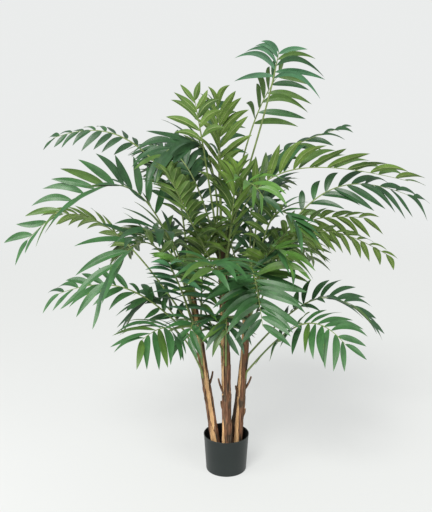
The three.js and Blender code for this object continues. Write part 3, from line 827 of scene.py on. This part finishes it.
def make_rib(rib, maker):
    """A stalk that clasps its stem below, then follows the source's curve with a grooved top."""
    foot = rib.frond["foot"]
    start = rib.way_out()
    leave = rib.point(start)
    places = []
    radii = []
    for step in range(CLASP_STEPS):
        share = step / CLASP_STEPS
        height = lerp(foot - CLASP_LENGTH, leave[2], share)
        height = max(height, STEM_FOOT + CLASP_LOWEST + step)
        away = stem_radius(rib.stem, height) - lerp(*CLASP_SUNK, share)
        places.append(stem_centre(rib.stem, height) + rib.out * away)
        radii.append(lerp(*CLASP_RADII, share ** CLASP_RADIUS_POWER))
    for step in range(RIB_STEPS + 1):
        share = lerp(start, 1, step / RIB_STEPS)
        places.append(rib.point(share))
        swell = (CLASP_RADII[1] - RIB_RADII[0]) * math.exp(-step / CLASP_FADE_STEPS)
        radii.append(rib.radius(share, RIB_RADII) + swell)
    places = np.array(places)
    tangents = np.gradient(places, axis=0)
    turn = (np.arange(RIB_SEGMENTS) + 0.5) / RIB_SEGMENTS * 2 * math.pi
    rings = []
    for place, tangent, radius in zip(places, tangents, radii):
        other = np.cross(unit(tangent), rib.side)
        groove = 1 - RIB_GROOVE * np.maximum(0, -np.sin(turn)) ** RIB_GROOVE_POWER
        rings.append(
            place + np.outer(radius * groove * np.cos(turn), rib.side)
            + np.outer(radius * groove * np.sin(turn), other)
        )
    rings = np.array(rings)
    points, faces = lofted(rings, places[0], places[-1] + unit(tangents[-1]) * RIB_POINT)
    last_brown = 1 + (CLASP_STEPS - 1) * RIB_SEGMENTS
    kinds = [RIB_BROWN if max(face) <= last_brown else RIB_GREEN for face in faces]
    maker.add(points, faces, kinds)


def make_leaflets(frond, rib, index, maker):
    """The leaflets that the solid frond has, and then those that only this model has."""
    tree = corner_tree(frond)
    chance = chance_from(FINE_SEED + index)
    # The frond's green, which is painted light and shade as well as its own tone
    tone = FROND_TONES_AND_PAINTED_LIGHT.get(frond["name"], PLAIN_TONE)

    def add(place, extra_lift):
        make_leaflet(place, extra_lift, chance, leaf_looks(tone, next(chance)), maker)

    for place in leaflet_places(frond, rib, range(frond["pairs"]), chance_from(index + 1)):
        extra_lift = chosen_lift(place, tree)
        if extra_lift is not None:
            add(place, extra_lift)
    for place in extra_places(frond, rib, chance):
        add(place, 0)


def make_fronds(rib_materials, blade_materials):
    """The ribs and the leaflets of each stem's fronds, joined each kind apart, and with each
    piece its slot and its nodes."""
    fronds = [dict(zip(FROND_COLUMNS, row)) for row in FROND_ROWS]
    made = []
    for name in STEMS:
        ribs = Maker()
        leaflets = Maker()
        nodes = []
        for index, frond in enumerate(fronds):
            if frond["stem"] == name:
                rib = Rib(frond)
                make_rib(rib, ribs)
                make_leaflets(frond, rib, index, leaflets)
                nodes.append("frond_" + frond["name"])
        pieces = [
            ribs.make("ribs_" + name, rib_materials, SHARP_DEGREES["frond"]),
            leaflets.make("leaflets_" + name, blade_materials, SHARP_DEGREES["frond"]),
        ]
        made += [(piece, "frond", nodes) for piece in pieces]
    return made


# Materials: their colours as shares of light, and the waves to the metre of their noise

POT_BLACK = (0.013, 0.018, 0.017)
# The inside of the pot is painted darker than its outside, as shade in its hollow
INSIDE_SHADE_BLACK = (0.006, 0.007, 0.007)
PLASTIC_CLOUDS = (9, 9, 9)
PLASTIC_GRAIN = (1400, 1400, 1400)
PLASTIC_FLOW = (60, 60, 12)

CEMENT_COLOURS = [
    (0.3, (0.006, 0.006, 0.005)), (0.62, (0.02, 0.018, 0.015)), (0.8, (0.05, 0.045, 0.04)),
]
CEMENT_GRIT = (260, 260, 260)

# Dark, middle and light of each kind of bark and wood, and how far apart they lie in its noise
BARK_COLOURS = {
    "bark_red": ((0.045, 0.021, 0.012), (0.165, 0.080, 0.044), (0.340, 0.180, 0.105), 0.16),
    "bark_brown": ((0.030, 0.017, 0.010), (0.125, 0.070, 0.040), (0.290, 0.175, 0.105), 0.17),
    "bark_grey": ((0.014, 0.010, 0.007), (0.060, 0.042, 0.028), (0.170, 0.130, 0.090), 0.18),
    # Pale peeled wood, which on the stripes facing the viewer is also painted highlight
    "peeled_wood_and_highlight": ((0.340, 0.190, 0.090), (0.640, 0.410, 0.200), (0.780, 0.570, 0.330), 0.2),
    "cut_wood": ((0.180, 0.110, 0.060), (0.330, 0.210, 0.120), (0.480, 0.340, 0.210), 0.2),
}
BARK_SHADE = [(0.3, (0.62, 0.6, 0.6)), (0.7, (1.15, 1.1, 1.05))]
BARK_STREAKS = (260, 260, 11)
BARK_CLOUDS = (40, 40, 11)
BARK_HAIRS = (700, 700, 60)

# A stalk's colour and that of its streaks
STALK_COLOURS = {
    "stalk_green": ((0.200, 0.270, 0.085), (0.120, 0.170, 0.045)),
    "stalk_brown": ((0.190, 0.130, 0.060), (0.090, 0.055, 0.028)),
}
STALK_STREAKS = (120, 120, 30)

# The greens of the leaflets, above and below. Deep, mid and bright are darker and lighter
# copies of one green: partly the leaves' own spread of tone, partly painted shade and painted
# light. The undersides are lighter and yellower, partly their own colour and partly painted
# light shining through the silk.
GREENS = {
    "deep": ((0.020, 0.072, 0.022), (0.052, 0.105, 0.018)),
    "mid": ((0.032, 0.112, 0.030), (0.085, 0.160, 0.028)),
    "bright": ((0.080, 0.200, 0.030), (0.140, 0.250, 0.040)),
    "teal": ((0.048, 0.152, 0.068), (0.070, 0.145, 0.045)),
    "olive": ((0.060, 0.130, 0.020), (0.112, 0.195, 0.034)),
}
MIDRIB_GREEN = (0.200, 0.270, 0.090)
LEAF_SHADE = [(0.3, (0.78, 0.8, 0.78)), (0.7, (1.2, 1.16, 1.1))]
LEAF_SHEEN_TINT = (0.75, 0.9, 1.0)
LEAF_CLOUDS = (34, 34, 34)
BLADE_VEINS = (1500, 28, 1)
BLADE_WEAVE = (2600, 2600, 1)

# Roughness, contrast of the veins, sheen and specular level of a leaflet's sides
TOP_FINISH = (0.42, 0.34, 0.06, 0.5)
UNDER_FINISH = (0.58, 0.28, 0.05, 0.3)
MIDRIB_FINISH = (0.5, 0.1, 0.05, 0.5)

# The green that most leaflets of a frond have, where it isn't the plain one, and the greens
# that the others have by chance. Besides their own tone, the fronds' greens are painted light
# and shade: bright on fronds that the light falls on, deep on fronds in shade within the
# crown and at its back.
PLAIN_TONE = "mid"
FROND_TONES_AND_PAINTED_LIGHT = {
    "left_high": "deep", "left_inner": "olive", "left_skirt_back": "deep",
    "left_front_high": "deep", "left_inner_front": "olive", "front_left_high": "deep",
    "high_left_rear": "deep", "upper_centre": "olive", "crown_top": "olive", "crown_tip": "teal",
    "right_high": "deep", "right_long": "olive", "right_second": "deep", "right_mid": "olive",
    "right_arc": "olive", "right_inner": "bright", "right_inner_front": "bright",
    "right_skirt_back": "deep", "front_left_low": "bright", "front_bright": "bright",
    "front_high": "bright", "front_low": "deep", "back_left_high": "deep",
    "back_left_low": "deep", "back_right_high": "deep", "back_right_low": "deep",
    "rear_low": "deep", "left_comb": "teal",
}
OWN_TONE_SHARE = 0.75
STRAY_TONES = ("deep", "mid", "olive")

# Sockets that share their names, of a Mix node for colours and of a Mix Shader node
MIX_FACTOR, MIX_FIRST, MIX_SECOND, MIX_RESULT = 0, 6, 7, 2
SHADER_FIRST, SHADER_SECOND = 1, 2


def set_sockets(node, values):
    for socket, value in values.items():
        node.inputs[socket].default_value = value


def link_sockets(tree, node, outputs):
    for socket, output in outputs.items():
        tree.links.new(output, node.inputs[socket])


def set_surface(tree, output, share, first, second):
    """Shows the first shader where the share is 0 and the second where it is 1."""
    mix = tree.nodes.new("ShaderNodeMixShader")
    link_sockets(tree, mix, {"Fac": share, SHADER_FIRST: first, SHADER_SECOND: second})
    link_sockets(tree, tree.nodes[output], {"Surface": mix.outputs["Shader"]})


class Look:
    """A Principled material, with short ways to add noise, colour and bump."""

    def __init__(self, name, roughness, specular=0.5, sheen=0.0, sheen_tint=(1, 1, 1)):
        self.material = bpy.data.materials.new(name)
        self.material.use_nodes = True
        self.tree = self.material.node_tree
        self.shader = self.tree.nodes["Principled BSDF"]
        self.normals = {}
        set_sockets(self.shader, {
            "Roughness": roughness, "Specular IOR Level": specular,
            "Sheen Weight": sheen, "Sheen Tint": (*sheen_tint, 1),
        })

    def node(self, kind, values, outputs):
        """A new node with some of its sockets set and some linked to other nodes' outputs."""
        node = self.tree.nodes.new("ShaderNode" + kind)
        set_sockets(node, values)
        link_sockets(self.tree, node, outputs)
        return node

    def noise(self, waves, detail=3, rough=0.55, blade=False):
        """Noise with so many waves to the metre, over the object or over each leaflet's blade."""
        if blade:
            source = self.node("UVMap", {}, {})
            source.uv_map = "blade"
            places = source.outputs["UV"]
        else:
            places = self.node("TexCoord", {}, {}).outputs["Object"]
        mapping = self.node("Mapping", {"Scale": waves}, {"Vector": places})
        values = {"Scale": 1, "Detail": detail, "Roughness": rough}
        return self.node("TexNoise", values, {"Vector": mapping.outputs["Vector"]}).outputs["Fac"]

    def ramp(self, value, stops):
        node = self.node("ValToRGB", {}, {"Fac": value})
        elements = node.color_ramp.elements
        while len(elements) < len(stops):
            elements.new(0)
        for element, (place, colour) in zip(elements, stops):
            element.position = place
            element.color = (*colour, 1)
        return node.outputs["Color"]

    def multiplied(self, first, second):
        node = self.node("Mix", {MIX_FACTOR: 1}, {})
        node.data_type = "RGBA"
        node.blend_type = "MULTIPLY"
        link_sockets(self.tree, node, {MIX_FIRST: first, MIX_SECOND: second})
        return node.outputs[MIX_RESULT]

    def colour(self, output):
        link_sockets(self.tree, self.shader, {"Base Color": output})

    def bump(self, height, distance, strength=1):
        """Bumps of this depth in metres, over those that the look has already."""
        values = {"Distance": distance, "Strength": strength}
        node = self.node("Bump", values, {"Height": height, **self.normals})
        self.normals = {"Normal": node.outputs["Normal"]}
        link_sockets(self.tree, self.shader, self.normals)


def scaled(colour, factor):
    return tuple(part * factor for part in colour)


def plastic_look(name, colour, roughness):
    """Satin moulded plastic with a fine grain."""
    look = Look(name, roughness, specular=0.35)
    clouds = look.noise(PLASTIC_CLOUDS, detail=4)
    look.colour(look.ramp(clouds, [(0.3, scaled(colour, 0.85)), (0.7, scaled(colour, 1.15))]))
    look.bump(look.noise(PLASTIC_GRAIN, detail=2), distance=0.00006)
    look.bump(look.noise(PLASTIC_FLOW, detail=2), distance=0.0003, strength=0.4)
    return look.material


def fill_look():
    """Dark, dry cement with grit."""
    look = Look("dark_cement", roughness=0.95, specular=0.2)
    grit = look.noise(CEMENT_GRIT, detail=4)
    look.colour(look.ramp(grit, CEMENT_COLOURS))
    look.bump(grit, distance=0.0012)
    return look.material


def bark_look(name, dark, middle, light, contrast):
    """Fibrous bark: long streaks down the stem, broken by darker cracks and flecks."""
    look = Look(name, roughness=0.86, specular=0.25)
    streaks = look.noise(BARK_STREAKS, detail=5, rough=0.62)
    clouds = look.noise(BARK_CLOUDS)
    colour = look.ramp(streaks, [(0.5 - contrast, dark), (0.5, middle), (0.5 + contrast, light)])
    look.colour(look.multiplied(colour, look.ramp(clouds, BARK_SHADE)))
    look.bump(streaks, distance=0.0014)
    look.bump(look.noise(BARK_HAIRS), distance=0.0004)
    return look.material


def stalk_look(name, colour, streak_colour):
    """A smooth stalk with faint streaks along it."""
    look = Look(name, roughness=0.5, specular=0.4)
    streaks = look.noise(STALK_STREAKS, detail=4)
    look.colour(look.ramp(streaks, [(0.32, streak_colour), (0.66, colour)]))
    look.bump(streaks, distance=0.0005)
    return look.material


def leaf_look(name, colour, roughness, vein, sheen, specular):
    """Printed silk: parallel veins along the blade, soft clouds of colour and a fine weave."""
    look = Look(name, roughness, specular, sheen, LEAF_SHEEN_TINT)
    veins = look.noise(BLADE_VEINS, detail=2, rough=0.5, blade=True)
    clouds = look.noise(LEAF_CLOUDS)
    streak = look.ramp(veins, [(0.3, scaled(colour, 1 - vein)), (0.72, scaled(colour, 1 + vein))])
    look.colour(look.multiplied(streak, look.ramp(clouds, LEAF_SHADE)))
    look.bump(veins, distance=0.00035, strength=0.8)
    look.bump(look.noise(BLADE_WEAVE, detail=1, blade=True), distance=0.00008, strength=0.6)
    return look.material


def leaf_materials():
    tops = [leaf_look("silk_top_" + tone, GREENS[tone][0], *TOP_FINISH) for tone in GREENS]
    unders = [leaf_look("silk_under_" + tone, GREENS[tone][1], *UNDER_FINISH) for tone in GREENS]
    return tops + unders + [leaf_look("silk_midrib", MIDRIB_GREEN, *MIDRIB_FINISH)]


def leaf_looks(tone, leaf_chance):
    """Material numbers of one leaflet above, below and along the midrib below."""
    if leaf_chance > OWN_TONE_SHARE:
        stray = (leaf_chance - OWN_TONE_SHARE) / (1 - OWN_TONE_SHARE)
        tone = STRAY_TONES[int(stray * len(STRAY_TONES))]
    count = len(GREENS)
    pair = list(GREENS).index(tone)
    return np.array([pair, count + pair, 2 * count])


# Stage, light and camera

FLOOR_RADIUS = 14
FLOOR_SEGMENTS = 96
FLOOR_FADE = (2.2, 6.0)
FLOOR_DROP = 0.0005
FLOOR_COLOUR = (0.25, 0.255, 0.25)
FLOOR_GLOW = 0.50
FLOOR_TINT = 0.01
PAPER_GRAIN = (500, 500, 500)
WORLD_COLOUR = (0.985, 1.0, 0.995)
WORLD_SEEN = 0.84
WORLD_LIGHT = 0.44

# Lights: kind, strength, width in degrees or metres, colour, place and aim
LIGHTS = {
    "key": ("SUN", 3.15, 24, (1, 0.985, 0.96), (-0.8, -1.95, 2.3), (0, 0, 0)),
    "fill_light": ("AREA", 44, 1.8, (1, 1, 1), (2.4, -2.2, 1.9), (0, 0, 0.8)),
    "side_light": ("AREA", 42, 1.6, (1, 1, 1), (-2.3, -1, 1.4), (0, 0, 0.6)),
}


def make_floor():
    """A level disc that turns see-through far out, so that it has no edge against the world."""
    mesh = bpy.data.meshes.new("floor")
    points = FLOOR_RADIUS * circle(FLOOR_SEGMENTS) - FLOOR_DROP * UP
    mesh.from_pydata(points.tolist(), [], [list(range(FLOOR_SEGMENTS))])
    look = Look("floor_paper", roughness=0.9, specular=0.1)
    grain = look.noise(PAPER_GRAIN, detail=2)
    darker, lighter = scaled(FLOOR_COLOUR, 1 - FLOOR_TINT), scaled(FLOOR_COLOUR, 1 + FLOOR_TINT)
    look.colour(look.ramp(grain, [(0.3, darker), (0.7, lighter)]))
    glow = {"Emission Color": (*WORLD_COLOUR, 1), "Emission Strength": FLOOR_GLOW}
    set_sockets(look.shader, glow)
    place = look.node("TexCoord", {}, {}).outputs["Object"]
    length = look.node("VectorMath", {}, {})
    length.operation = "LENGTH"
    link_sockets(look.tree, length, {0: place})
    ends = {"From Min": FLOOR_FADE[0], "From Max": FLOOR_FADE[1]}
    fade = look.node("MapRange", ends, {"Value": length.outputs["Value"]})
    fade.interpolation_type = "SMOOTHSTEP"
    paper = look.shader.outputs["BSDF"]
    clear = look.node("BsdfTransparent", {}, {}).outputs["BSDF"]
    set_surface(look.tree, "Material Output", fade.outputs["Result"], paper, clear)
    mesh.materials.append(look.material)
    add_object("floor", mesh)


def make_world():
    """A bright, plain background that lights the plant less than it looks bright."""
    world = bpy.data.worlds.new("studio")
    world.use_nodes = True
    nodes = world.node_tree.nodes
    shaders = []
    for strength in (WORLD_LIGHT, WORLD_SEEN):
        background = nodes.new("ShaderNodeBackground")
        set_sockets(background, {"Color": (*WORLD_COLOUR, 1), "Strength": strength})
        shaders.append(background.outputs["Background"])
    seen = nodes.new("ShaderNodeLightPath").outputs["Is Camera Ray"]
    set_surface(world.node_tree, "World Output", seen, *shaders)
    bpy.context.scene.world = world
    bpy.context.scene.view_settings.view_transform = "Standard"


def make_lights():
    for name, (kind, strength, width, colour, place, aim) in LIGHTS.items():
        data = bpy.data.lights.new(name, kind)
        data.energy = strength
        data.color = colour
        if kind == "SUN":
            data.angle = math.radians(width)
        else:
            data.size = width
        light = add_object(name, data)
        light.location = place
        light.rotation_euler = (Vector(aim) - Vector(place)).to_track_quat("-Z", "Y").to_euler()


def make_camera():
    data = bpy.data.cameras.new("camera")
    data.lens = CAMERA_LENS
    data.sensor_width = CAMERA_SENSOR
    camera = add_object("camera", data)
    camera.location = CAMERA_PLACE
    camera.rotation_euler = (math.radians(90 - CAMERA_PITCH_DEGREES), 0, 0)
    bpy.context.scene.camera = camera


def main():
    make_camera()
    make_world()
    make_lights()
    make_floor()

    plastics = [
        plastic_look("pot_plastic", POT_BLACK, roughness=0.4),
        # The darker plastic inside the pot is painted shade
        plastic_look("pot_inside_painted_shade", INSIDE_SHADE_BLACK, roughness=0.6),
    ]
    barks = [bark_look(name, *colours) for name, colours in BARK_COLOURS.items()]
    stalks = [stalk_look(name, *colours) for name, colours in STALK_COLOURS.items()]
    made = [(make_pot(plastics), "pot", ["pot"]), (make_fill([fill_look()]), "fill", ["fill"])]
    made += [(make_stem(name, barks), "stem", ["stem_" + name]) for name in STEMS]
    made += make_fronds(stalks, leaf_materials())
    for piece, slot, nodes in made:
        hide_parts(*nodes)
        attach(piece, "root")


main()
